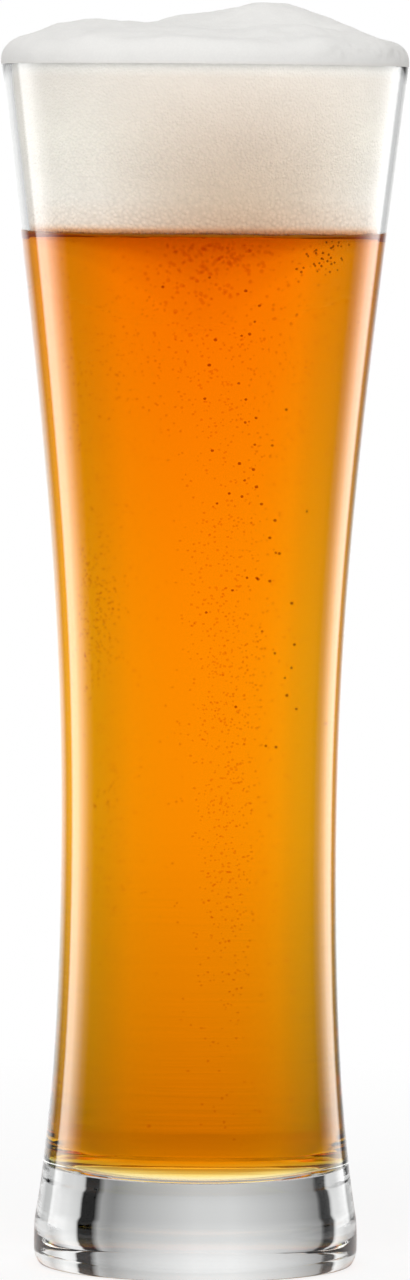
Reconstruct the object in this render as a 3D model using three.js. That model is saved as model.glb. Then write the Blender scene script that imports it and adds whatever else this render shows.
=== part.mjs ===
// Witbier glass, filled with beer under a head of foam. Millimetres, +Z up.
// The origin is on the axis of the glass, on the surface that it stands on.

import * as THREE from 'three';

// Outside of the glass
const GLASS_HEIGHT = 245;
const RIM_DIAMETER = 82.8;
const RIM_SPREAD = 0.124; // widening of the radius per millimetre of height at the rim
const RIM_TANGENT = 76; // how far the curve keeps to that slope below the rim
const WAIST_DIAMETER = 56.3;
const WAIST_HEIGHT = 85;
const WAIST_TANGENT_UP = 49.5; // how far the curve stays upright above the waist
const WAIST_TANGENT_DOWN = 38; // and below it
const FLARE_SPREAD = 0.172; // widening of the radius per millimetre downwards, above the foot
const FLARE_TANGENT = 13; // how far the curve keeps to that slope
const FLARE_END = 10; // height at which the flare bends into the foot
const KNEE_HEIGHT = 7; // where the flare would meet the upright side of the foot
const FOOT_DIAMETER = 66.4;
const FOOT_CORNER_HEIGHT = 2.8; // of the round corner below the widest part of the foot
const FOOT_CORNER_CUT = 40; // degrees of that corner, which the underside cuts off

// Underside: a flat ring that the glass stands on, around a shallow hollow
const PUNT_DIAMETER = 60;
const PUNT_DEPTH = 2.6;

// Inside of the glass: the wall thickens from the rim to the floor
const RIM_WALL = 1.8;
const WAIST_WALL = 2.4;
const FLOOR_WALL = 3.4;
const BASE_THICKNESS = 18.8;
const FLOOR_CORNER_RADIUS = 5;

// Contents
const FOAM_DEPTH = 35; // from the rim down to the beer
const CLEARANCE = 0.3; // between the glass and its contents, and between beer and foam

// Crown of foam above the rim: a rounded edge that covers the rim, with soft mounds on it
const CROWN_EDGE_HEIGHT = 4;
const CROWN_EDGE_WIDTH = 4;
const MOUND_RISE = 13; // the mounds fade in over this distance from the edge
const MOUNDS = [
  { name: 'front roll', x: 15, y: -11, spreadX: 23, spreadY: 6.5, height: 2.8 },
  { name: 'front fold', x: -10, y: -30, spreadX: 16, spreadY: 3.5, height: 0.5 },
  { name: 'left lobe', x: -22, y: 2, spreadX: 14.4, spreadY: 13, height: 4 },
  { name: 'right lobe', x: 31, y: -1, spreadX: 4, spreadY: 12, height: 1.9 },
  { name: 'rear peak', x: 13, y: 17, spreadX: 12.7, spreadY: 8.5, height: 8 },
  { name: 'rear shoulder', x: -5, y: 19, spreadX: 4.7, spreadY: 8, height: 1.3 },
];

// Facets
const SEGMENTS = 64;
const WALL_STEPS = 9; // along each of the two long curves of the wall
const BEND_STEPS = 4; // along the knee of the foot
const ARC_STEPS = 6; // an even number, so that the round rim has a point at its top
const CROWN_RINGS = 9;

const RIM_RADIUS = RIM_DIAMETER / 2;
const FOOT_RADIUS = FOOT_DIAMETER / 2;
const RIM_START = GLASS_HEIGHT - RIM_WALL / 2; // where the wall ends and the round rim begins
const BEER_LEVEL = GLASS_HEIGHT - FOAM_DEPTH;

const clearGlass = new THREE.MeshStandardMaterial({ color: 0xe6ecea, roughness: 0.03, metalness: 0 });
const amberBeer = new THREE.MeshStandardMaterial({ color: 0xe07a05, roughness: 0.05, metalness: 0 });
const creamFoam = new THREE.MeshStandardMaterial({ color: 0xefe8df, roughness: 0.9, metalness: 0 });
clearGlass.transparent = true;
clearGlass.opacity = 0.35;

// A profile point: its distance from the axis and its height
const point = (radius, z) => new THREE.Vector2(radius, z);

// Points on a round corner from one angle to another, in degrees from the outward direction
function arc(centre, radiusAcross, radiusUp, from, to) {
  const start = THREE.MathUtils.degToRad(from);
  const end = THREE.MathUtils.degToRad(to);
  const curve = new THREE.EllipseCurve(centre.x, centre.y, radiusAcross, radiusUp, start, end, end < start);
  return curve.getPoints(ARC_STEPS);
}

// The flank of the glass, from the widest part of the foot up to the rim
function flankPoints() {
  const foot = point(FOOT_RADIUS, FOOT_CORNER_HEIGHT);
  const knee = point(FOOT_RADIUS, KNEE_HEIGHT);
  const flare = point(FOOT_RADIUS - FLARE_SPREAD * (FLARE_END - KNEE_HEIGHT), FLARE_END);
  const waist = point(WAIST_DIAMETER / 2, WAIST_HEIGHT);
  const rim = point(RIM_RADIUS, RIM_START);
  const bend = new THREE.QuadraticBezierCurve(foot, knee, flare);
  const lower = new THREE.CubicBezierCurve(
    flare,
    point(flare.x - FLARE_SPREAD * FLARE_TANGENT, flare.y + FLARE_TANGENT),
    point(waist.x, waist.y - WAIST_TANGENT_DOWN),
    waist,
  );
  const upper = new THREE.CubicBezierCurve(
    waist,
    point(waist.x, waist.y + WAIST_TANGENT_UP),
    point(rim.x - RIM_SPREAD * RIM_TANGENT, rim.y - RIM_TANGENT),
    rim,
  );
  return [
    ...bend.getPoints(BEND_STEPS),
    ...lower.getPoints(WALL_STEPS).slice(1),
    ...upper.getPoints(WALL_STEPS).slice(1),
  ];
}

// The radius of a rising row of profile points at a height between its ends
function radiusAt(points, z) {
  const next = points.findIndex((p) => p.y >= z);
  const above = points[Math.max(next, 1)];
  const below = points[Math.max(next, 1) - 1];
  return THREE.MathUtils.mapLinear(z, below.y, above.y, below.x, above.x);
}

// The wall's thickness at a height
function wallAt(z) {
  const floorEdge = BASE_THICKNESS + FLOOR_CORNER_RADIUS;
  if (z < WAIST_HEIGHT) {
    const share = THREE.MathUtils.smoothstep(z, floorEdge, WAIST_HEIGHT);
    return THREE.MathUtils.lerp(FLOOR_WALL, WAIST_WALL, share);
  }
  const share = THREE.MathUtils.smoothstep(z, WAIST_HEIGHT, RIM_START);
  return THREE.MathUtils.lerp(WAIST_WALL, RIM_WALL, share);
}

// The inside of the glass, from the middle of its floor up to the rim
function cavityPoints(flank) {
  const floorEdge = BASE_THICKNESS + FLOOR_CORNER_RADIUS;
  const edgeRadius = radiusAt(flank, floorEdge) - FLOOR_WALL;
  const cornerCentre = point(edgeRadius - FLOOR_CORNER_RADIUS, floorEdge);
  const corner = arc(cornerCentre, FLOOR_CORNER_RADIUS, FLOOR_CORNER_RADIUS, -90, 0);
  const wall = flank.filter((p) => p.y > floorEdge).map((p) => point(p.x - wallAt(p.y), p.y));
  return [point(0, BASE_THICKNESS), ...corner, ...wall];
}

// The hollow of the underside, its flat ring and the round corner of the foot, up to its widest part
function undersidePoints() {
  const puntRadius = PUNT_DIAMETER / 2;
  const hollow = new THREE.QuadraticBezierCurve(
    point(0, PUNT_DEPTH),
    point(puntRadius / 2, PUNT_DEPTH),
    point(puntRadius, 0),
  );
  const cornerRadius = FOOT_CORNER_HEIGHT / Math.sin(THREE.MathUtils.degToRad(FOOT_CORNER_CUT));
  const cornerCentre = point(FOOT_RADIUS - cornerRadius, FOOT_CORNER_HEIGHT);
  const corner = arc(cornerCentre, cornerRadius, cornerRadius, -FOOT_CORNER_CUT, 0);
  return [...hollow.getPoints(ARC_STEPS), ...corner];
}

// A solid turned about the Z axis from a profile that starts and ends on it
function turned(points) {
  const geometry = new THREE.LatheGeometry(points, SEGMENTS);
  geometry.rotateX(Math.PI / 2);
  return geometry;
}

function namedMesh(name, geometry, material) {
  const mesh = new THREE.Mesh(geometry, material);
  mesh.name = name;
  return mesh;
}

function makeGlass(flank, cavity) {
  const rimCentre = point(RIM_RADIUS - RIM_WALL / 2, RIM_START);
  const rim = arc(rimCentre, RIM_WALL / 2, RIM_WALL / 2, 0, 180).slice(1, -1);
  const inside = [...cavity].reverse();
  const profile = [...undersidePoints(), ...flank.slice(1), ...rim, ...inside];
  return namedMesh('glass', turned(profile), clearGlass);
}

// The stretch of the cavity between two heights, one clearance in from its wall
function filling(cavity, bottom, top) {
  const shrunk = (radius, z) => point(radius - CLEARANCE, z);
  const wall = cavity.slice(1);
  const between = wall.filter((p) => p.y > bottom && p.y < top).map((p) => shrunk(p.x, p.y));
  return [...between, shrunk(radiusAt(wall, top), top)];
}

function makeBeer(cavity) {
  const surface = BEER_LEVEL - CLEARANCE;
  const floorCorner = point(cavity[1].x - CLEARANCE, BASE_THICKNESS);
  const wall = filling(cavity, BASE_THICKNESS, surface);
  const profile = [point(0, BASE_THICKNESS), floorCorner, ...wall, point(0, surface)];
  return namedMesh('beer', turned(profile), amberBeer);
}

// How far the mounds raise the crown at a place
function moundHeight(x, y) {
  const fromEdge = RIM_RADIUS - Math.hypot(x, y);
  const fade = THREE.MathUtils.smoothstep(fromEdge, 0, MOUND_RISE);
  const bell = (m) => Math.exp(-(((x - m.x) / m.spreadX) ** 2 + ((y - m.y) / m.spreadY) ** 2) / 2);
  return fade * MOUNDS.reduce((sum, m) => sum + m.height * bell(m), 0);
}

function makeFoam(cavity) {
  const wall = cavity.slice(1);
  const bottomRadius = radiusAt(wall, BEER_LEVEL) - CLEARANCE;
  const neckRadius = RIM_RADIUS - RIM_WALL - CLEARANCE;
  const edgeCentre = point(RIM_RADIUS - CROWN_EDGE_WIDTH, GLASS_HEIGHT);
  const edge = arc(edgeCentre, CROWN_EDGE_WIDTH, CROWN_EDGE_HEIGHT, 0, 90);
  const crownTop = GLASS_HEIGHT + CROWN_EDGE_HEIGHT;
  const crown = [];
  for (let ring = 1; ring <= CROWN_RINGS; ring += 1) {
    crown.push(point(edgeCentre.x * (1 - ring / CROWN_RINGS), crownTop));
  }
  const profile = [
    point(0, BEER_LEVEL),
    point(bottomRadius, BEER_LEVEL),
    ...filling(cavity, BEER_LEVEL, RIM_START),
    point(neckRadius, GLASS_HEIGHT),
    ...edge,
    ...crown,
  ];
  const geometry = turned(profile);
  const places = geometry.attributes.position;
  for (let i = 0; i < places.count; i += 1) {
    const z = places.getZ(i);
    if (z > GLASS_HEIGHT) {
      places.setZ(i, z + moundHeight(places.getX(i), places.getY(i)));
    }
  }
  return namedMesh('foam_head', geometry, creamFoam);
}

const flank = flankPoints();
const cavity = cavityPoints(flank);

// The contents stand one clearance above the floor and the rim of the glass
const contents = new THREE.Group();
contents.position.z = CLEARANCE;
contents.add(makeBeer(cavity), makeFoam(cavity));

const witbierGlass = new THREE.Group();
witbierGlass.add(makeGlass(flank, cavity), contents);

export default witbierGlass;
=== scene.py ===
import math
import random

import bmesh
import bpy
from mathutils import Matrix, Vector, noise


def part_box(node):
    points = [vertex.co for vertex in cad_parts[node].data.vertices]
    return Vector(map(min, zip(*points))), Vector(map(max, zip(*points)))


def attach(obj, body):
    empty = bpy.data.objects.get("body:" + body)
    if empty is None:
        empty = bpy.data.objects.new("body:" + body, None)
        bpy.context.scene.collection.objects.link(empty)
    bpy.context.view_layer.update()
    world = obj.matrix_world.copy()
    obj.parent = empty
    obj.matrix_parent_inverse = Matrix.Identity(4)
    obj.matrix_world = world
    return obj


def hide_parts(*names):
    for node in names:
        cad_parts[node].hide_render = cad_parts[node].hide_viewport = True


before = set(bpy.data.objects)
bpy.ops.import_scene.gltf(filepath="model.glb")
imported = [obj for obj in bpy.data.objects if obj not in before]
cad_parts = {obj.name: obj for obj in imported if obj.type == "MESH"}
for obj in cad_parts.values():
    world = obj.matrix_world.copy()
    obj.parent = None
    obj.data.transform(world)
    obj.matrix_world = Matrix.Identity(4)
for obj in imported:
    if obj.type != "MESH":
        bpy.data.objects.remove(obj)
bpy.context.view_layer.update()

MM = 0.001  # lengths are in metres, and +Z is up

# Sizes that the frame gives
LINE_LIFT = 0.2 * MM  # of the beer's level above the lower end of the solid foam
GLASS_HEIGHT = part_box("glass")[1].z
RIM_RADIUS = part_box("glass")[1].x
BEER_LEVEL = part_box("foam_head")[0].z + LINE_LIFT
FOAM_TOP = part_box("foam_head")[1].z

# Outside of the glass, as in the solids, but with a slightly higher bend and corner of the foot
RIM_SPREAD = 0.124  # widening of the radius per length upwards, at the rim
RIM_TANGENT = 76 * MM  # how far the curve keeps to that slope
WAIST_RADIUS = 28.15 * MM
WAIST_HEIGHT = 85 * MM
WAIST_TANGENT_UP = 49.5 * MM
WAIST_TANGENT_DOWN = 38 * MM
FLARE_SPREAD = 0.172  # widening of the radius per length downwards, above the foot
FLARE_TANGENT = 13 * MM
FLARE_END = 10 * MM  # height at which the flare bends into the foot
KNEE_HEIGHT = 8.4 * MM  # where the flare would meet the upright side of the foot
FOOT_RADIUS = 33.0 * MM
FOOT_CORNER = 3.4 * MM  # height of the round corner of the foot
FOOT_CUT = 40  # degrees of that corner above the flat ring that cuts it off
FOOT_EASING = 0.5 * MM  # rounding of the edge between the two
PUNT_RADIUS = 30 * MM
PUNT_DEPTH = 2.6 * MM
RING_START = PUNT_RADIUS + 0.3 * MM  # a point on the flat ring, just outside the hollow

# Inside of the glass
RIM_WALL = 1.8 * MM
WAIST_WALL = 2.4 * MM
FLOOR_WALL = 3.4 * MM
BASE_THICKNESS = 18.8 * MM
FLOOR_CORNER = 5 * MM
RIM_START = GLASS_HEIGHT - RIM_WALL / 2
FLOOR_EDGE = BASE_THICKNESS + FLOOR_CORNER
CORNER_ROOM = 0.5 * MM  # the rows of the wall keep this far above the floor's corner
LEVEL_ROOM = 0.2 * MM  # and this far from the beer's level, which has a row of its own

# Foam: its side, its lip over the rim and its crown
WETTING = 0.15 * MM  # how far the beer reaches into the wall, so that no air shows between them
FOAM_GAP = 0.08 * MM  # between the foam and the wall
FOAM_DIP = 0.25 * MM  # how far the foam dips into the beer
CROWN_EDGE_HEIGHT = 4 * MM
CROWN_EDGE_WIDTH = 4 * MM
CROWN_LIFT = 0.3 * MM  # of the crown above the rim of the glass
LIP_GAP = 0.015 * MM  # between the foam and the round rim that it comes down over
LIP_ANGLE = 8  # how far down it comes, in degrees above the rim's outer side
MOUND_RISE = 13 * MM  # the mounds fade in over this distance from the crown's edge
MOUNDS = (  # centre x, y, spread x, spread in front and behind, and height, in millimetres
    (15, -19, 23, 9, 4, 2.8),
    (-22, 2, 14.4, 13, 13, 4),
    (13, 17, 12.7, 8.5, 8.5, 8),
    (-5, 19, 4.7, 8, 8, 1.3),
    (31, -1, 4, 12, 12, 1.9),
    (-10, -30, 16, 3.5, 2, 0.7),
)

# Unevenness of the foam, with noise scales per millimetre
LINE_WAVE = 0.3 * MM  # of the line between beer and foam
LINE_SCALE = 0.13
LINE_CELLS = 0.15 * MM  # of the cells of foam along that line
LINE_CELL_SCALE = 0.5
LINE_FADE = 4 * MM  # the line's waves fade away over this height
BACK_RISE = 1.25 * MM  # how much higher the line lies behind
BACK_REACH = 24 * MM  # it rises between this far in front of the axis and as far behind
PIT_DEPTH = 0.1 * MM  # of the pits in the foam's side
PIT_SCALE = 0.9
RIPPLE_HEIGHT = 0.4 * MM  # of the soft ripples on the crown
RIPPLE_SCALE = 0.16
RIPPLE_OCTAVES = 3
GRAIN_HEIGHT = 0.06 * MM
GRAIN_SCALE = 1.3
RIPPLE_RISE = 6 * MM  # ripples and grain fade in over this distance from the crown's edge
EDGE_SWAY = 1.2 * MM  # of the height of the crown's front edge
SWAY_SCALE = 0.07
SWAY_LAYER = 4.0  # height in the noise that the sway is taken from
SWAY_RISE = 25 * MM  # it fades in over this distance in front of the axis
FOLD_DEPTH = 1.0 * MM  # of the upright folds in the crown's edge, deepest on the right
FOLD_LEAST = 0.15  # share of that depth on the left
FOLD_START = 0.3 * RIM_RADIUS  # the folds deepen between these two places
FOLD_END = 0.8 * RIM_RADIUS
FOLD_SCALE = 1.1
FOLD_SCALE_UP = 0.15
FACING_DOWN = -0.7  # faces whose normals go down more than this are the foam's underside
SHADED_SIDE = (0.2, -0.98, 0.0)  # direction in which the foam's side is painted darkest: painted shade in front, away from the side lights

# Fineness of the meshes
GLASS_SEGMENTS = 192
FOAM_SEGMENTS = 320
CURVE_STEPS = 56
ARC_STEPS = 14
FOAM_ROWS = 80
CROWN_RINGS = 80
BASE_RINGS = 36
BUBBLE_SEGMENTS = 8
BUBBLE_RINGS = 4
SHARP_BEND = math.radians(20)
CORNER_REACH = 0.03 * MM
OUTSIDE_LIMIT = 0.15 * MM  # of a normal's outward share times the distance from the axis, on outer faces

# Glass, beer and gas: tints are of the light that passes; the gas's tints are painted shade
CLEAR = (1.0, 1.0, 1.0)
GLASS_IOR = 1.52
GLASS_TINT = (0.985, 0.995, 0.99)
FOAM_BACKED_MIRRORS = 0.18  # share that glass over white foam shows of what it mirrors
BEER_IOR = 1.34
BEER_DENSITY = 160.0  # per metre
BEER_TINT = (0.9962, 0.84, 0.0625)
GAS_IOR = 1.0  # the gas bends no light here; its tints paint the shade that the bubbles give instead
CLOUD_DENSITY = 13.0  # of each cloud under the foam, per metre: painted shade that darkens the beer there, in place of the light that its finest bubbles scatter away
CLOUD_SHADE = (0.7, 0.55, 0.3)
CLOUD_DEPTH = 20 * MM
CLOUD_RADIUS = 32 * MM
CLOUDS = (  # top above the beer's level, and fall over which a cloud narrows to about a third
    (0.6 * MM, 3.5 * MM),
    (0.5 * MM, 4.5 * MM),
    (0.4 * MM, 9 * MM),
)

# Bubbles, in millimetres
FINE_SHADE = (0.905, 0.775, 0.63)  # of the light that crosses a bubble's surface: painted shade in place of the light that it bends away
# Darker for the larger bubbles: painted shade, as above
LARGE_SHADE = (0.5, 0.28, 0.2)
FINE_CLOUDS = (  # count, middle x, y, z and spread x, y, z
    (420, 1, -8, 184, 11, 8, 12),
    (560, 5, -8, 132, 4.5, 6, 26),
    (380, -19.5, -14, 134, 2.5, 3, 11),
    (110, -20, -13, 178, 4, 5, 12),
    (90, 22, -10, 199, 7, 8, 7),
    (90, -14, -8, 198, 12, 9, 8),
    (110, -15.5, -11, 88, 2.5, 4, 14),
    (430, 5, -8, 86, 3.5, 5, 28),
    (120, 0, -4, 120, 18, 12, 55),
)
FINE_RADII = (0.14, 0.28)
SWARM_COUNT = 170  # of the bubbles just under the foam
SWARM_LEAST_DEPTH = 1.6
SWARM_MEAN_DEPTH = 4.5  # below the least depth
SWARM_MIDDLE = 3
SWARM_SPREAD = 3.5
SWARM_WIDENING = 0.4  # of the spread, per depth
SWARM_FRONT = (-29, -20)
SWARM_RADII = (0.3, 0.48)
STREAM_COUNT = 48  # of the larger bubbles that rise to the middle of the foam
STREAM_HEIGHTS = (105, 203)
STREAM_TOP = (3, 200)  # x and z that it leans towards
STREAM_LEAN = 0.15
STREAM_SPREAD = 4.5
STREAM_FRONT = (-9, 4)  # middle and spread
STREAM_RADII = (0.22, 0.33)
CLUSTER_COUNT = 40  # of the bubbles under the right of the foam
CLUSTER_MIDDLE = (22.5, 4)  # and spread
CLUSTER_FRONT = (-22, -17)
CLUSTER_DEPTHS = (1.2, 7.5)
CLUSTER_RADII = (0.17, 0.27)
WALL_ROOM = 3  # radii of a bubble that its middle keeps from the wall
FOAM_ROOM = 4  # and from the beer's level


# Curves and profiles: points are pairs of a distance from the axis and a height

def bezier(points, steps):
    """Points along a Bezier curve of any degree."""
    degree = len(points) - 1
    made = []
    for step in range(steps + 1):
        t = step / steps
        weights = [math.comb(degree, i) * (1 - t) ** (degree - i) * t ** i for i in range(degree + 1)]
        made.append(tuple(sum(w * p[axis] for w, p in zip(weights, points)) for axis in (0, 1)))
    return made


def arc(centre, across, up, start, end):
    """Points on a round corner between two angles, in degrees from the outward direction."""
    made = []
    for step in range(ARC_STEPS + 1):
        angle = math.radians(start + (end - start) * step / ARC_STEPS)
        made.append((centre[0] + across * math.cos(angle), centre[1] + up * math.sin(angle)))
    return made


def smoothstep(value, low, high):
    """A share that goes smoothly from 0 at the low value to 1 at the high one."""
    share = min(max((value - low) / (high - low), 0.0), 1.0)
    return share * share * (3 - 2 * share)


def flank():
    """The outside of the wall, from the widest part of the foot up to the rim."""
    foot = (FOOT_RADIUS, FOOT_CORNER)
    knee = (FOOT_RADIUS, KNEE_HEIGHT)
    flare = (FOOT_RADIUS - FLARE_SPREAD * (FLARE_END - KNEE_HEIGHT), FLARE_END)
    flare_handle = (flare[0] - FLARE_SPREAD * FLARE_TANGENT, FLARE_END + FLARE_TANGENT)
    waist_low_handle = (WAIST_RADIUS, WAIST_HEIGHT - WAIST_TANGENT_DOWN)
    waist = (WAIST_RADIUS, WAIST_HEIGHT)
    waist_high_handle = (WAIST_RADIUS, WAIST_HEIGHT + WAIST_TANGENT_UP)
    rim_handle = (RIM_RADIUS - RIM_SPREAD * RIM_TANGENT, RIM_START - RIM_TANGENT)
    rim = (RIM_RADIUS, RIM_START)
    bend = bezier((foot, knee, flare), ARC_STEPS)
    lower = bezier((flare, flare_handle, waist_low_handle, waist), CURVE_STEPS)
    upper = bezier((waist, waist_high_handle, rim_handle, rim), CURVE_STEPS)
    return bend + lower[1:] + upper[1:]


def radius_at(points, z):
    """The radius of a rising row of points at a height."""
    for below, above in zip(points, points[1:]):
        if above[1] >= z:
            share = (z - below[1]) / (above[1] - below[1])
            return below[0] + (above[0] - below[0]) * share
    return points[-1][0]


def wall_at(z):
    """The thickness of the wall at a height."""
    if z < WAIST_HEIGHT:
        return FLOOR_WALL + (WAIST_WALL - FLOOR_WALL) * smoothstep(z, FLOOR_EDGE, WAIST_HEIGHT)
    return WAIST_WALL + (RIM_WALL - WAIST_WALL) * smoothstep(z, WAIST_HEIGHT, RIM_START)


def inner_wall():
    """The inside of the wall, from the round corner of the floor up to the rim."""
    outside = flank()
    edge_radius = radius_at(outside, FLOOR_EDGE) - FLOOR_WALL
    corner = arc((edge_radius - FLOOR_CORNER, FLOOR_EDGE), FLOOR_CORNER, FLOOR_CORNER, -90, 0)
    heights = [z for _, z in outside if z > FLOOR_EDGE + CORNER_ROOM and abs(z - BEER_LEVEL) > LEVEL_ROOM]
    heights = sorted(heights + [BEER_LEVEL])
    return corner + [(radius_at(outside, z) - wall_at(z), z) for z in heights]


def underside():
    """The hollow of the underside, the flat ring around it and the round corner of the foot."""
    hollow = bezier(((0.0, PUNT_DEPTH), (PUNT_RADIUS / 2, PUNT_DEPTH), (PUNT_RADIUS, 0.0)), CURVE_STEPS)
    bend = FOOT_CORNER / math.sin(math.radians(FOOT_CUT))
    eased = math.degrees(FOOT_EASING / bend)
    corner = arc((FOOT_RADIUS - bend, FOOT_CORNER), bend, bend, eased - FOOT_CUT, 0)
    edge = (FOOT_RADIUS - bend + bend * math.cos(math.radians(FOOT_CUT)), 0.0)
    easing = bezier(((edge[0] - FOOT_EASING, 0.0), edge, corner[0]), ARC_STEPS)
    return hollow + [(RING_START, 0.0)] + easing + corner[1:]


def across(radius, z, rings):
    """A flat stretch from the axis out to a radius, without its outer point."""
    return [(radius * ring / rings, z) for ring in range(rings)]


def crisp(profile):
    """Adds points close to each sharp corner, so that smooth shading doesn't round it off."""
    made = [profile[0]]
    for before, here, after in zip(profile, profile[1:], profile[2:]):
        corner = Vector(here)
        back = Vector(before) - corner
        ahead = Vector(after) - corner
        sharp = back.length > 0 and ahead.length > 0 and math.pi - back.angle(ahead) > SHARP_BEND
        if sharp and back.length > 3 * CORNER_REACH:
            made.append(tuple(corner + back.normalized() * CORNER_REACH))
        made.append(here)
        if sharp and ahead.length > 3 * CORNER_REACH:
            made.append(tuple(corner + ahead.normalized() * CORNER_REACH))
    return made + [profile[-1]]


# Meshes

def new_object(name, verts, faces):
    """A smoothly shaded object in the scene."""
    mesh = bpy.data.meshes.new(name)
    mesh.from_pydata(verts, [], faces)
    mesh.polygons.foreach_set("use_smooth", [True] * len(mesh.polygons))
    made = bpy.data.objects.new(name, mesh)
    bpy.context.scene.collection.objects.link(made)
    return made


def turned(name, profile, segments, shaped=None):
    """A closed mesh turned about the Z axis from a profile that starts and ends on it."""
    profile = crisp(profile)
    verts = [(0.0, 0.0, profile[0][1])]
    for radius, z in profile[1:-1]:
        for k in range(segments):
            angle = math.tau * k / segments
            verts.append((radius * math.cos(angle), radius * math.sin(angle), z))
    verts.append((0.0, 0.0, profile[-1][1]))
    if shaped:
        verts = [shaped(*v) for v in verts]
    rings = len(profile) - 2
    last = len(verts) - 1
    faces = []
    for k in range(segments):
        after = (k + 1) % segments
        faces.append((0, 1 + after, 1 + k))
        for ring in range(rings - 1):
            low = 1 + ring * segments
            high = low + segments
            faces.append((low + k, low + after, high + after, high + k))
        top = 1 + (rings - 1) * segments
        faces.append((last, top + k, top + after))
    return new_object(name, verts, faces)


# Nodes of materials and of the world

def add_node(tree, kind, inputs=None, **settings):
    """A new node. Each input is a value, or the socket that it is linked to."""
    made = tree.nodes.new(kind)
    for name, value in settings.items():
        setattr(made, name, value)
    for key, value in (inputs or {}).items():
        if isinstance(value, bpy.types.NodeSocket):
            tree.links.new(value, made.inputs[key])
        else:
            made.inputs[key].default_value = value
    return made


def calc(tree, operation, first, second=0.0):
    """The result of an operation on one or two numbers."""
    return add_node(tree, "ShaderNodeMath", {0: first, 1: second}, operation=operation).outputs[0]


def blend_values(tree, factor, low, high):
    """A number that goes from low to high with a factor."""
    made = add_node(tree, "ShaderNodeMix", {0: factor, 2: low, 3: high}, data_type="FLOAT")
    return made.outputs[0]


def blend_colours(tree, factor, low, high, blend_type="MIX"):
    """A colour that goes from low to high, or to their blend, with a factor."""
    inputs = {0: factor, 6: low, 7: high}
    return add_node(tree, "ShaderNodeMix", inputs, data_type="RGBA", blend_type=blend_type).outputs[2]


def times(tree, first, second):
    """The product of two colours."""
    return blend_colours(tree, 1.0, first, second, "MULTIPLY")


def map_range(tree, value, start, end):
    """A share that goes from 0 at the start to 1 at the end."""
    inputs = {"Value": value, "From Min": start, "From Max": end}
    return add_node(tree, "ShaderNodeMapRange", inputs).outputs[0]


def ramp(tree, factor, stops):
    """A colour or grey that changes along a factor, given as pairs of a place and a grey or colour."""
    made = add_node(tree, "ShaderNodeValToRGB", {0: factor})
    elements = made.color_ramp.elements
    while len(elements) < len(stops):
        elements.new(1.0)
    for element, (place, shade) in zip(elements, stops):
        element.position = place
        element.color = (*shade, 1.0) if isinstance(shade, tuple) else (shade, shade, shade, 1.0)
    return made.outputs[0]


def new_material(name):
    """A material with an empty tree, and its output node."""
    material = bpy.data.materials.new(name)
    material.use_nodes = True
    tree = material.node_tree
    tree.nodes.clear()
    return material, tree, tree.nodes.new("ShaderNodeOutputMaterial")


def texture_place(tree, scale=(1.0, 1.0, 1.0)):
    """Object coordinates in millimetres, stretched, for textures."""
    where = add_node(tree, "ShaderNodeTexCoord").outputs["Object"]
    size = tuple(s / MM for s in scale)
    return add_node(tree, "ShaderNodeMapping", {"Vector": where, "Scale": size}).outputs[0]


# Materials

def glass_material(name, mirrors=1.0):
    """Clear moulded glass, with the faint level waves that moulding and fire polishing leave."""
    material, tree, output = new_material(name)
    waves = add_node(tree, "ShaderNodeTexNoise", {
        "Vector": texture_place(tree, (0.02, 0.02, 0.55)), "Scale": 1.0, "Detail": 2.0,
    })
    bump = add_node(tree, "ShaderNodeBump", {
        "Height": waves.outputs[0], "Strength": 0.02, "Distance": 1 * MM,
    })
    shader = add_node(tree, "ShaderNodeBsdfPrincipled", {
        "Base Color": (*GLASS_TINT, 1.0), "Roughness": 0.0, "IOR": GLASS_IOR,
        "Transmission Weight": 1.0, "Specular Tint": (mirrors, mirrors, mirrors, 1.0),
        "Normal": bump.outputs[0],
    })
    tree.links.new(shader.outputs[0], output.inputs["Surface"])
    return material


def clear_material(name, ior, tint, depth_tint=None, density=0.0):
    """Clear beer or gas, which mirrors nothing: it tints light at its surface, or by the depth it crosses;
    the gas's tints are painted shade.
    """
    material, tree, output = new_material(name)
    shader = add_node(tree, "ShaderNodeBsdfPrincipled", {
        "Base Color": (*tint, 1.0), "Roughness": 0.0, "IOR": ior, "Transmission Weight": 1.0,
        "Specular Tint": (0.0, 0.0, 0.0, 1.0),
    })
    tree.links.new(shader.outputs[0], output.inputs["Surface"])
    if depth_tint:
        depth = add_node(tree, "ShaderNodeVolumeAbsorption", {
            "Color": (*depth_tint, 1.0), "Density": density,
        })
        tree.links.new(depth.outputs[0], output.inputs["Volume"])
    return material


def side_light_share(tree, where):
    """How much painted light from the sides the foam's colour gets round its side; its front, right of the
    middle, is painted in shade.
    """
    level = add_node(tree, "ShaderNodeVectorMath", {0: where, 1: (1.0, 1.0, 0.0)}, operation="MULTIPLY")
    outward = add_node(tree, "ShaderNodeVectorMath", {0: level.outputs[0]}, operation="NORMALIZE")
    directions = {0: outward.outputs[0], 1: SHADED_SIDE}
    facing = add_node(tree, "ShaderNodeVectorMath", directions, operation="DOT_PRODUCT")
    turned_away = calc(tree, "SUBTRACT", 1.0, facing.outputs["Value"])
    return ramp(tree, turned_away, (
        (0.0, 0.0), (0.05, 0.15), (0.15, 0.44), (0.3, 0.78), (0.5, 0.92), (1.0, 0.95),
    ))


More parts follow.
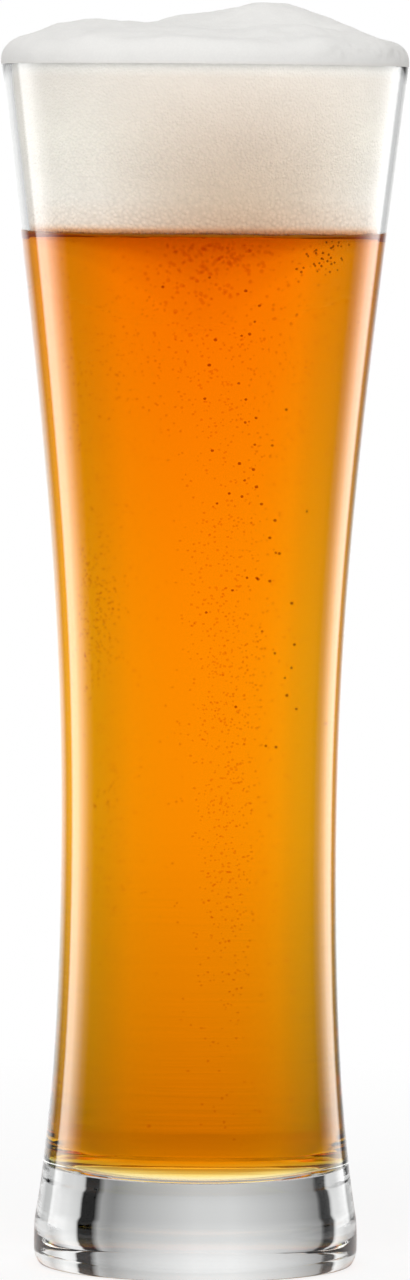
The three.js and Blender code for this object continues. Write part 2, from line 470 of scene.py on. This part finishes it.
def foam_body(tree, where, depth):
    """The foam's colour up its side: painted shade in front and painted light at the sides, warmer towards
    the beer, where it is wetter and painted with the warm light that comes up through the beer, and at the
    line of the beer.
    """
    # In front: painted shade, warmer towards the beer, where the foam is wetter and gets painted warm light
    # from the beer
    wet = ramp(tree, depth, (
        (0.05, (0.64, 0.43, 0.29)), (0.2, (0.655, 0.495, 0.365)), (0.55, (0.725, 0.59, 0.485)),
        (0.9, (0.82, 0.725, 0.645)), (1.0, (0.94, 0.93, 0.905)),
    ))
    # At the sides: painted light from the side lamps
    side_lit = ramp(tree, depth, (
        (0.05, (0.95, 0.82, 0.71)), (0.2, (0.97, 0.91, 0.84)), (0.55, (0.97, 0.92, 0.84)),
        (0.9, (0.82, 0.76, 0.7)), (1.0, (0.94, 0.93, 0.905)),
    ))
    line = ramp(tree, depth, (
        (0.0, (0.68, 0.27, 0.05)), (0.016, (0.8, 0.46, 0.22)), (0.034, (1.0, 0.88, 0.78)),
        (0.055, (1.0, 1.0, 1.0)),
    ))
    return times(tree, blend_colours(tree, side_light_share(tree, where), wet, side_lit), line)


def foam_material():
    """Fine foam: white on top, warmer and coarser towards the beer."""
    material, tree, output = new_material("poured_foam")
    where = texture_place(tree)
    height = add_node(tree, "ShaderNodeSeparateXYZ", {0: where}).outputs["Z"]
    depth = map_range(tree, height, BEER_LEVEL / MM, GLASS_HEIGHT / MM)
    patches = add_node(tree, "ShaderNodeTexNoise", {"Vector": where, "Scale": 0.12, "Detail": 3.0})
    tone = ramp(tree, patches.outputs[0], ((0.3, 0.96), (0.7, 1.0)))
    coarse = add_node(tree, "ShaderNodeTexVoronoi", {"Vector": where, "Scale": 1.2})
    fine = add_node(tree, "ShaderNodeTexVoronoi", {"Vector": where, "Scale": 2.0})
    fineness = map_range(tree, depth, 0.05, 0.4)
    cells = blend_values(tree, fineness, coarse.outputs["Distance"], fine.outputs["Distance"])
    # The cells' edges are painted darker: painted shade between the foam's bubbles
    pore_shade = ramp(tree, cells, ((0.1, 1.0), (0.7, 0.84)))
    faded = ramp(tree, depth, ((0.0, 0.0), (0.5, 0.35), (1.0, 0.85)))
    toned = times(tree, foam_body(tree, where, depth), tone)
    relief = ramp(tree, depth, ((0.0, 1.0), (0.95, 0.35), (1.0, 0.08)))
    bump = add_node(tree, "ShaderNodeBump", {
        "Height": cells, "Strength": relief, "Distance": 0.4 * MM,
    }, invert=True)
    shader = add_node(tree, "ShaderNodeBsdfPrincipled", {
        "Base Color": times(tree, toned, blend_values(tree, faded, pore_shade, 0.97)), "Roughness": 0.7,
        "Normal": bump.outputs[0],
    })
    tree.links.new(shader.outputs[0], output.inputs["Surface"])
    return material


def soaked_and_lit_material():
    """Foam that is soaked with beer, its colour painted brighter and yellower as painted light that comes
    down through the foam.
    """
    material, tree, output = new_material("soaked_and_lit_foam")
    cells = add_node(tree, "ShaderNodeTexVoronoi", {"Vector": texture_place(tree), "Scale": 0.8})
    # Soaked amber, raised to a bright yellow as painted light
    shade = ramp(tree, cells.outputs["Distance"], ((0.1, (0.98, 0.94, 0.2)), (0.7, (0.9, 0.82, 0.15))))
    shader = add_node(tree, "ShaderNodeBsdfPrincipled", {"Base Color": shade, "Roughness": 0.7})
    tree.links.new(shader.outputs[0], output.inputs["Surface"])
    return material


# Pieces of the object

def finished(piece, material, slot, *nodes):
    """Gives a piece its material, hangs it on the root body and hides the parts that it replaces."""
    piece.data.materials.append(material)
    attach(piece, "root")
    if nodes:
        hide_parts(*nodes)
    return piece


def make_glass():
    """The whole glass: underside, flank, rim, inside and floor."""
    rim = arc((RIM_RADIUS - RIM_WALL / 2, RIM_START), RIM_WALL / 2, RIM_WALL / 2, 0, 180)[1:-1]
    inside = list(reversed(inner_wall()))
    floor = list(reversed(across(inside[-1][0], BASE_THICKNESS, ARC_STEPS)))
    profile = underside() + flank()[1:] + rim + inside + floor
    return turned("glass_body", profile, GLASS_SEGMENTS)


def finish_walls(glass):
    """Glass against beer mirrors almost nothing, and glass over foam shows less of what it mirrors."""
    finishes = glass.data.materials
    wet = len(finishes)
    finishes.append(glass_material("wet_glass", 0.0))
    foam_backed = len(finishes)
    finishes.append(glass_material("foam_backed_glass", FOAM_BACKED_MIRRORS))
    for face in glass.data.polygons:
        outward = face.normal.x * face.center.x + face.normal.y * face.center.y
        outside = outward > OUTSIDE_LIMIT
        if outside and face.center.z > BEER_LEVEL:
            face.material_index = foam_backed
        elif not outside and BASE_THICKNESS - WETTING < face.center.z < BEER_LEVEL:
            face.material_index = wet


def line_rise(x, y):
    """How far the line between beer and foam lies above its mean level at a place."""
    behind = smoothstep(y, -BACK_REACH, BACK_REACH)
    return LINE_WAVE * noise.noise(Vector((x, y, 0.0)) / MM * LINE_SCALE) + BACK_RISE * behind


def beer_shape(x, y, z):
    """Gives the beer's surface its uneven level."""
    return (x, y, z + line_rise(x, y) * smoothstep(z, BEER_LEVEL - LINE_FADE, BEER_LEVEL))


def make_beer():
    """The beer, which wets the floor and the wall of the glass."""
    floor = BASE_THICKNESS - WETTING
    wall = [(r + WETTING, z) for r, z in inner_wall() if z < BEER_LEVEL]
    wall[0] = (wall[0][0], floor)
    top = radius_at(inner_wall(), BEER_LEVEL) + WETTING
    surface = list(reversed(across(top, BEER_LEVEL, BASE_RINGS)))
    profile = across(wall[0][0], floor, ARC_STEPS) + wall + [(top, BEER_LEVEL)] + surface
    return turned("beer_body", profile, GLASS_SEGMENTS, beer_shape)


def mound_height(x, y):
    """How far the mounds raise the crown at a place."""
    fade = smoothstep(RIM_RADIUS - math.hypot(x, y), 0.0, MOUND_RISE)
    total = 0.0
    for centre_x, centre_y, spread_x, front, rear, height in MOUNDS:
        away_x = (x / MM - centre_x) / spread_x
        away_y = (y / MM - centre_y) / (front if y / MM < centre_y else rear)
        total += height * MM * math.exp(-(away_x ** 2 + away_y ** 2) / 2)
    return fade * total


def edge_sway(x, y, z):
    """How far the crown's front edge is raised or lowered at a place."""
    sway = noise.noise(Vector((x / MM * SWAY_SCALE, y / MM * SWAY_SCALE, SWAY_LAYER))) * EDGE_SWAY
    in_front = smoothstep(-y, 0.0, SWAY_RISE)
    above_rim = smoothstep(z - GLASS_HEIGHT - CROWN_LIFT, 0.0, CROWN_EDGE_HEIGHT)
    return sway * in_front * above_rim


def fold_depth(x, y, z):
    """How far the upright folds cut into the crown's edge at a place."""
    place = Vector((x * FOLD_SCALE, y * FOLD_SCALE, z * FOLD_SCALE_UP)) / MM
    deepening = smoothstep(x, FOLD_START, FOLD_END)
    return max(noise.noise(place), 0.0) * FOLD_DEPTH * (FOLD_LEAST + (1 - FOLD_LEAST) * deepening)


def crown_shape(x, y, z):
    """Moves a point of the plain crown to its uneven surface."""
    place = Vector((x, y, z)) / MM
    radius = math.hypot(x, y)
    rise = smoothstep(RIM_RADIUS - radius, 0.0, RIPPLE_RISE)
    ripples = noise.fractal(place * RIPPLE_SCALE, 1.0, 2.0, RIPPLE_OCTAVES) * RIPPLE_HEIGHT
    grain = noise.noise(place * GRAIN_SCALE) * GRAIN_HEIGHT
    shrink = 1 - fold_depth(x, y, z) * (1 - rise) / max(radius, MM)
    raised = z + mound_height(x, y) + (ripples + grain) * rise + edge_sway(x, y, z)
    return (x * shrink, y * shrink, min(raised, FOAM_TOP))


def side_shape(x, y, z):
    """Moves a point of the foam's plain side or underside to its uneven surface."""
    place = Vector((x, y, z)) / MM
    pits = abs(noise.noise(place * PIT_SCALE)) * PIT_DEPTH
    shrink = 1 - pits / math.hypot(x, y)
    cells = LINE_CELLS * noise.noise(Vector((x, y, 0.0)) / MM * LINE_CELL_SCALE)
    rise = (line_rise(x, y) + cells) * smoothstep(BEER_LEVEL + LINE_FADE - z, 0.0, LINE_FADE)
    return (x * shrink, y * shrink, z + rise)


def foam_shape(x, y, z):
    """Moves a point of the plain turned foam to its uneven surface."""
    if z > GLASS_HEIGHT + CROWN_LIFT:
        return crown_shape(x, y, z)
    if z < RIM_START and math.hypot(x, y) > 0:
        return side_shape(x, y, z)
    return (x, y, z)


def make_foam():
    """The foam, from its underside in the beer up to the crown over the rim."""
    bottom = BEER_LEVEL - FOAM_DIP
    wall = inner_wall()
    side = []
    for row in range(FOAM_ROWS):
        z = bottom + (RIM_START - bottom) * row / FOAM_ROWS
        side.append((radius_at(wall, z) - FOAM_GAP, z))
    over = RIM_WALL / 2 + LIP_GAP
    lip = arc((RIM_RADIUS - RIM_WALL / 2, RIM_START), over, over, 180, LIP_ANGLE)
    lip = [(min(r, RIM_RADIUS), z) for r, z in lip]
    crown_base = GLASS_HEIGHT + CROWN_LIFT
    flat = RIM_RADIUS - CROWN_EDGE_WIDTH
    edge = arc((flat, crown_base), CROWN_EDGE_WIDTH, CROWN_EDGE_HEIGHT, 0, 90)
    top = list(reversed(across(flat, crown_base + CROWN_EDGE_HEIGHT, CROWN_RINGS)))
    base = across(side[0][0], bottom, BASE_RINGS)
    return turned("foam_crown", base + side + lip + edge + top, FOAM_SEGMENTS, foam_shape)


def finish_underside(foam):
    """The underside of the foam lies in the beer."""
    finishes = foam.data.materials
    soaked = len(finishes)
    finishes.append(soaked_and_lit_material())
    highest = BEER_LEVEL + LINE_WAVE + BACK_RISE
    for face in foam.data.polygons:
        if face.normal.z < FACING_DOWN and face.center.z < highest:
            face.material_index = soaked


def make_cloud(above, fall):
    """A cloud that darkens the beer with painted shade, wide under the foam and narrower with depth."""
    top = BEER_LEVEL + above
    wall = []
    for step in range(CURVE_STEPS):
        depth = CLOUD_DEPTH * (1 - step / CURVE_STEPS)
        wall.append((CLOUD_RADIUS * math.exp(-depth / fall), top - depth))
    profile = [(0.0, top - CLOUD_DEPTH)] + wall + [(CLOUD_RADIUS, top), (0.0, top)]
    return turned("shade_cloud", profile, GLASS_SEGMENTS)


def unit_sphere():
    """Points and faces of a small round ball, with its faces turned inwards."""
    ball = bmesh.new()
    bmesh.ops.create_uvsphere(ball, u_segments=BUBBLE_SEGMENTS, v_segments=BUBBLE_RINGS, radius=1.0)
    points = [v.co.copy() for v in ball.verts]
    faces = [tuple(v.index for v in reversed(f.verts)) for f in ball.faces]
    ball.free()
    return points, faces


def free_of_walls(places):
    """The bubbles of a row of middles and radii that lie well inside the beer."""
    wall = inner_wall()
    made = []
    for middle, radius in places:
        room = radius_at(wall, middle.z) - WALL_ROOM * radius
        highest = BEER_LEVEL - FOAM_ROOM * radius - LINE_WAVE
        if middle.xy.length < room and FLOOR_EDGE < middle.z < highest:
            made.append((middle, radius))
    return made


def fine_bubbles(rng):
    """Clouds of fine bubbles that rise to the foam, and a swarm just under it."""
    places = []
    for count, x, y, z, spread_x, spread_y, spread_z in FINE_CLOUDS:
        for _ in range(count):
            middle = Vector((rng.gauss(x, spread_x), rng.gauss(y, spread_y), rng.gauss(z, spread_z)))
            places.append((middle * MM, rng.uniform(*FINE_RADII) * MM))
    for _ in range(SWARM_COUNT):
        depth = SWARM_LEAST_DEPTH + rng.expovariate(1 / SWARM_MEAN_DEPTH)
        spread = SWARM_SPREAD + SWARM_WIDENING * depth
        x = rng.gauss(SWARM_MIDDLE, spread)
        y = rng.uniform(*SWARM_FRONT)
        middle = Vector((x, y, BEER_LEVEL / MM - depth))
        places.append((middle * MM, rng.uniform(*SWARM_RADII) * MM))
    return free_of_walls(places)


def large_bubbles(rng):
    """A loose stream of larger bubbles that leans to the left as it rises, and a cluster on the right."""
    places = []
    top_x, top_z = STREAM_TOP
    for _ in range(STREAM_COUNT):
        z = rng.uniform(*STREAM_HEIGHTS)
        x = top_x + (top_z - z) * STREAM_LEAN + rng.gauss(0, STREAM_SPREAD)
        y = rng.gauss(*STREAM_FRONT)
        places.append((Vector((x, y, z)) * MM, rng.uniform(*STREAM_RADII) * MM))
    for _ in range(CLUSTER_COUNT):
        x = rng.gauss(*CLUSTER_MIDDLE)
        y = rng.uniform(*CLUSTER_FRONT)
        z = BEER_LEVEL / MM - rng.uniform(*CLUSTER_DEPTHS)
        places.append((Vector((x, y, z)) * MM, rng.uniform(*CLUSTER_RADII) * MM))
    return free_of_walls(places)


def make_bubbles(name, places):
    """One object of many small balls."""
    points, faces = unit_sphere()
    verts = []
    joined = []
    for middle, radius in places:
        first = len(verts)
        verts.extend(middle + p * radius for p in points)
        joined.extend(tuple(first + i for i in face) for face in faces)
    return new_object(name, verts, joined)


glass_body = finished(make_glass(), glass_material("polished_glass"), "clear_glass", "glass")
finish_walls(glass_body)
clear_beer = clear_material("clear_beer", BEER_IOR, CLEAR, BEER_TINT, BEER_DENSITY)
finished(make_beer(), clear_beer, "amber_beer", "beer")
foam_crown = finished(make_foam(), foam_material(), "cream_foam", "foam_head")
finish_underside(foam_crown)
# Clouds that darken the beer just under the foam: painted shade
haze = clear_material("shade_haze", GAS_IOR, CLEAR, CLOUD_SHADE, CLOUD_DENSITY)
for cloud_sizes in CLOUDS:
    finished(make_cloud(*cloud_sizes), haze, "amber_beer")
chance = random.Random(7)
# Bubbles darkened by the tints of their surfaces: painted shade, darker for the larger ones
shaded_fine_gas = clear_material("shaded_fine_gas", GAS_IOR, FINE_SHADE)
finished(make_bubbles("fine_bubbles", fine_bubbles(chance)), shaded_fine_gas, "amber_beer")
shaded_large_gas = clear_material("gas", GAS_IOR, LARGE_SHADE)
finished(make_bubbles("large_bubbles", large_bubbles(chance)), shaded_large_gas, "amber_beer")


# Studio

FLOOR_RADIUS = 0.6
FLOOR_SIDES = 64
FLOOR_DROP = 0.2 * MM  # below the foot
FLOOR_FADE = (0.1, 0.42)  # the floor fades into the white background between these distances
FLOOR_WHITE = 0.85  # share of plain white in what the viewer sees of the floor
KEY_PLACE = Vector((-0.12, -0.9, 0.78))
KEY_SIZE = 0.6
KEY_POWER = 4.75
FIELD_LEVEL = 1.42  # of the bright field that bare glass shows
FOAM_LIGHT = 2.3  # of the light that reaches the foam
BOX_LEVEL = 4.2  # of the soft boxes that the glass mirrors
WALL_EDGE_LEVEL = 0.84  # of the light that the wall's edge turns towards the viewer
EDGE_TINT_LIMIT = math.radians(12)  # the beer's edges are yellower up to this far from the horizon
FOAM_CROSSINGS = 4  # surfaces that light crosses on its way from the foam out through the wall
BEER_CROSSINGS = 6  # and on its way through the wall, the beer and the wall again
LIGHT_BOUNCES = 24
CAMERA_PLACE = Vector((0.0, -1.830, 0.2266))
CAMERA_PITCH = 3.1  # degrees down
CAMERA_TURN = 0.03  # degrees to the right
CAMERA_ROLL = 0.48  # degrees about its own axis
CAMERA_LENS = 253.1  # millimetres


def by_azimuth(tree, azimuth, stops):
    """A level that changes round the horizon, given by degrees from straight behind the glass."""
    turn = map_range(tree, azimuth, -math.pi, math.pi)
    return ramp(tree, turn, [((degrees + 180) / 360, level) for degrees, level in stops])


def by_elevation(tree, elevation, stops):
    """A level that changes with the height above the horizon, given in degrees."""
    rise = map_range(tree, elevation, -math.pi / 2, math.pi / 2)
    return ramp(tree, rise, [((degrees + 90) / 180, level) for degrees, level in stops])


def through_glass(tree, behind, elevation):
    """What bare glass shows: a bright field with a dark gap on either side."""
    sides = by_azimuth(tree, behind, (
        (-61, 0.45), (-52, 0.7), (-49.7, 0.66), (-48.2, 0.0), (-41.3, 0.0), (-39.8, 0.22), (-27, 0.42),
        (-9, 0.62), (0, 0.6), (17, 0.38), (23, 0.26), (27.3, 0.34), (29, 0.0), (35.2, 0.0), (36.7, 0.66),
        (43, 0.74), (53, 0.44), (60, 0.65),
    ))
    rise = by_elevation(tree, elevation, ((-15, 0.68), (-12, 0.76), (-4, 0.82), (5, 0.94), (14, 1.0)))
    return calc(tree, "MULTIPLY", calc(tree, "MULTIPLY", sides, rise), FIELD_LEVEL)


def through_beer(tree, behind, elevation):
    """What the beer shows: the middle of the field, brighter towards its edges again."""
    sides = by_azimuth(tree, behind, (
        (-58, 0.80), (-50, 1.06), (-43, 0.96), (-36, 0.70), (-30, 0.85), (-23, 0.96), (-18, 1.09),
        (0, 1.11), (14, 1.05), (18, 0.96), (23, 0.86), (27, 0.80), (33, 0.91), (38, 1.10), (47, 1.11),
        (52, 0.95),
    ))
    rise = by_elevation(tree, elevation, (
        (-50, 0.6), (-30, 0.6), (-18, 0.55), (-12, 0.5), (-8, 0.75), (-4, 0.96), (-1, 1.0), (10, 1.0),
        (17, 0.5), (27, 0.5), (33, 1.25),
    ))
    return calc(tree, "MULTIPLY", sides, rise)


def beer_edges(tree, behind):
    """The paler, yellower light of the beer's edges."""
    away = map_range(tree, calc(tree, "ABSOLUTE", behind), 0.0, math.pi / 2)
    return ramp(tree, away, (
        (14 / 90, (1.0, 1.0, 1.0)), (20 / 90, (0.98, 1.06, 0.7)), (25 / 90, (0.98, 1.13, 0.4)),
        (30 / 90, (0.99, 1.15, 0.3)), (40 / 90, (1.0, 1.12, 0.4)),
    ))


def light_on_foam(tree, around, elevation):
    """The light that reaches the foam through the wall: brighter at the sides than in front."""
    sides = by_azimuth(tree, around, (
        (-178, 0.22), (-155, 0.88), (-125, 1.0), (-105, 0.68), (-80, 0.35), (-60, 0.25), (0, 0.3),
        (60, 0.33), (80, 0.6), (105, 0.9), (125, 1.0), (155, 0.82), (178, 0.22),
    ))
    rise = by_elevation(tree, elevation, ((-60, 0.5), (0, 0.75), (50, 1.0)))
    return calc(tree, "MULTIPLY", calc(tree, "MULTIPLY", sides, rise), FOAM_LIGHT)


def mirrored_boxes(tree, around):
    """What the glass mirrors: a tall soft box on either side, in a dark room."""
    boxes = by_azimuth(tree, around, (
        (-82, 0.0), (-75, 0.13), (-66, 0.62), (-59, 1.0), (-50, 0.85), (-46.5, 0.03), (-36, 0.02),
        (-27, 0.26), (-12, 0.36), (12, 0.28), (24, 0.05), (31, 0.03), (37, 0.66), (46, 0.66), (53, 0.4),
        (61, 0.14), (69, 0.0),
    ))
    return calc(tree, "MULTIPLY", boxes, BOX_LEVEL)


def ray_directions(tree):
    """A ray's turn from straight behind, with the front folded onto the back and without, and its rise."""
    way = add_node(tree, "ShaderNodeTexCoord").outputs["Generated"]
    parts = add_node(tree, "ShaderNodeSeparateXYZ", {0: way})
    depth = calc(tree, "ABSOLUTE", parts.outputs["Y"])
    behind = calc(tree, "ARCTAN2", parts.outputs["X"], depth)
    around = calc(tree, "ARCTAN2", parts.outputs["X"], parts.outputs["Y"])
    elevation = calc(tree, "ARCSINE", parts.outputs["Z"])
    return behind, around, elevation


def crossed_at_least(tree, rays, surfaces):
    """Whether light has crossed a number of surfaces."""
    return calc(tree, "GREATER_THAN", rays.outputs["Transmission Depth"], surfaces - 0.5)


def seen_through(tree, rays, behind, around, elevation):
    """What light that has crossed the glass meets: bare glass, foam or beer."""
    bounced = calc(tree, "GREATER_THAN", rays.outputs["Glossy Depth"], 0.5)
    downwards = calc(tree, "LESS_THAN", elevation, 0.0)
    wall_edge = calc(tree, "MULTIPLY", bounced, downwards)
    bare = blend_values(tree, wall_edge, through_glass(tree, behind, elevation), WALL_EDGE_LEVEL)
    foam = light_on_foam(tree, around, elevation)
    beer = through_beer(tree, behind, elevation)
    filled = blend_values(tree, crossed_at_least(tree, rays, BEER_CROSSINGS), foam, beer)
    return blend_values(tree, crossed_at_least(tree, rays, FOAM_CROSSINGS), bare, filled)


def make_world():
    """A white studio: what the glass shows behind it, what it mirrors, and the soft light all round."""
    world = bpy.data.worlds.new("studio")
    world.use_nodes = True
    tree = world.node_tree
    tree.nodes.clear()
    behind, around, elevation = ray_directions(tree)
    rays = add_node(tree, "ShaderNodeLightPath")
    through = seen_through(tree, rays, behind, around, elevation)
    soft_light = by_elevation(tree, elevation, ((-30, 0.5), (0, 0.6), (70, 0.62)))
    level = blend_values(tree, rays.outputs["Is Glossy Ray"], soft_light, mirrored_boxes(tree, around))
    level = blend_values(tree, rays.outputs["Is Transmission Ray"], level, through)
    level = blend_values(tree, rays.outputs["Is Camera Ray"], level, 1.0)
    ahead = calc(tree, "LESS_THAN", calc(tree, "ABSOLUTE", elevation), EDGE_TINT_LIMIT)
    tinted = calc(tree, "MULTIPLY", crossed_at_least(tree, rays, BEER_CROSSINGS), ahead)
    tint = blend_colours(tree, tinted, (1.0, 1.0, 1.0, 1.0), beer_edges(tree, behind))
    sky = add_node(tree, "ShaderNodeBackground", {"Color": tint, "Strength": level})
    output = add_node(tree, "ShaderNodeOutputWorld", {"Surface": sky.outputs[0]})
    output.is_active_output = True
    bpy.context.scene.world = world


def make_key():
    """A soft lamp above the front, which shapes the crown and gives the glass its shadow."""
    data = bpy.data.lights.new("key", "AREA")
    data.size = KEY_SIZE
    data.energy = KEY_POWER
    lamp = bpy.data.objects.new("key", data)
    lamp.location = KEY_PLACE
    lamp.rotation_euler = (Vector((0, 0, GLASS_HEIGHT)) - KEY_PLACE).to_track_quat("-Z", "Y").to_euler()
    lamp.visible_camera = False
    lamp.visible_glossy = False
    lamp.visible_transmission = False
    bpy.context.scene.collection.objects.link(lamp)


def floor_material():
    """A pale floor that fades into the background away from the glass."""
    material, tree, output = new_material("pale_floor")
    where = add_node(tree, "ShaderNodeTexCoord").outputs["Object"]
    away = add_node(tree, "ShaderNodeVectorMath", {0: where}, operation="LENGTH").outputs["Value"]
    fade = map_range(tree, away, *FLOOR_FADE)
    mottle = add_node(tree, "ShaderNodeTexNoise", {"Vector": where, "Scale": 60.0, "Detail": 4.0})
    paper = ramp(tree, mottle.outputs[0], ((0.3, 0.91), (0.7, 0.94)))
    shaded = add_node(tree, "ShaderNodeBsdfDiffuse", {"Color": paper})
    white = add_node(tree, "ShaderNodeEmission", {"Strength": 1.0})
    direct = add_node(tree, "ShaderNodeLightPath").outputs["Is Camera Ray"]
    seen = calc(tree, "MULTIPLY", direct, FLOOR_WHITE)
    solid = add_node(tree, "ShaderNodeMixShader", {0: seen, 1: shaded.outputs[0], 2: white.outputs[0]})
    clear = add_node(tree, "ShaderNodeBsdfTransparent")
    mixed = add_node(tree, "ShaderNodeMixShader", {0: fade, 1: solid.outputs[0], 2: clear.outputs[0]})
    tree.links.new(mixed.outputs[0], output.inputs["Surface"])
    return material


def make_floor():
    """The floor, which the glass doesn't show through itself."""
    angles = [math.tau * side / FLOOR_SIDES for side in range(FLOOR_SIDES)]
    ring = [(FLOOR_RADIUS * math.cos(a), FLOOR_RADIUS * math.sin(a), -FLOOR_DROP) for a in angles]
    floor = new_object("floor", ring, [tuple(range(FLOOR_SIDES))])
    floor.data.materials.append(floor_material())
    floor.visible_transmission = False


def make_camera():
    """The viewer of the photograph, far in front of the glass and level with its upper part."""
    data = bpy.data.cameras.new("camera")
    data.lens = CAMERA_LENS
    camera = bpy.data.objects.new("camera", data)
    turn = Matrix.Rotation(math.radians(-CAMERA_TURN), 4, "Z")
    tilt = Matrix.Rotation(math.radians(90 - CAMERA_PITCH), 4, "X")
    roll = Matrix.Rotation(math.radians(CAMERA_ROLL), 4, "Z")
    camera.matrix_world = Matrix.Translation(CAMERA_PLACE) @ turn @ tilt @ roll
    bpy.context.scene.collection.objects.link(camera)
    bpy.context.scene.camera = camera


make_world()
make_key()
make_floor()
make_camera()

scene = bpy.context.scene
scene.view_settings.view_transform = "Standard"
scene.cycles.blur_glossy = 0.0
scene.cycles.max_bounces = LIGHT_BOUNCES
scene.cycles.transmission_bounces = LIGHT_BOUNCES
scene.cycles.transparent_max_bounces = LIGHT_BOUNCES
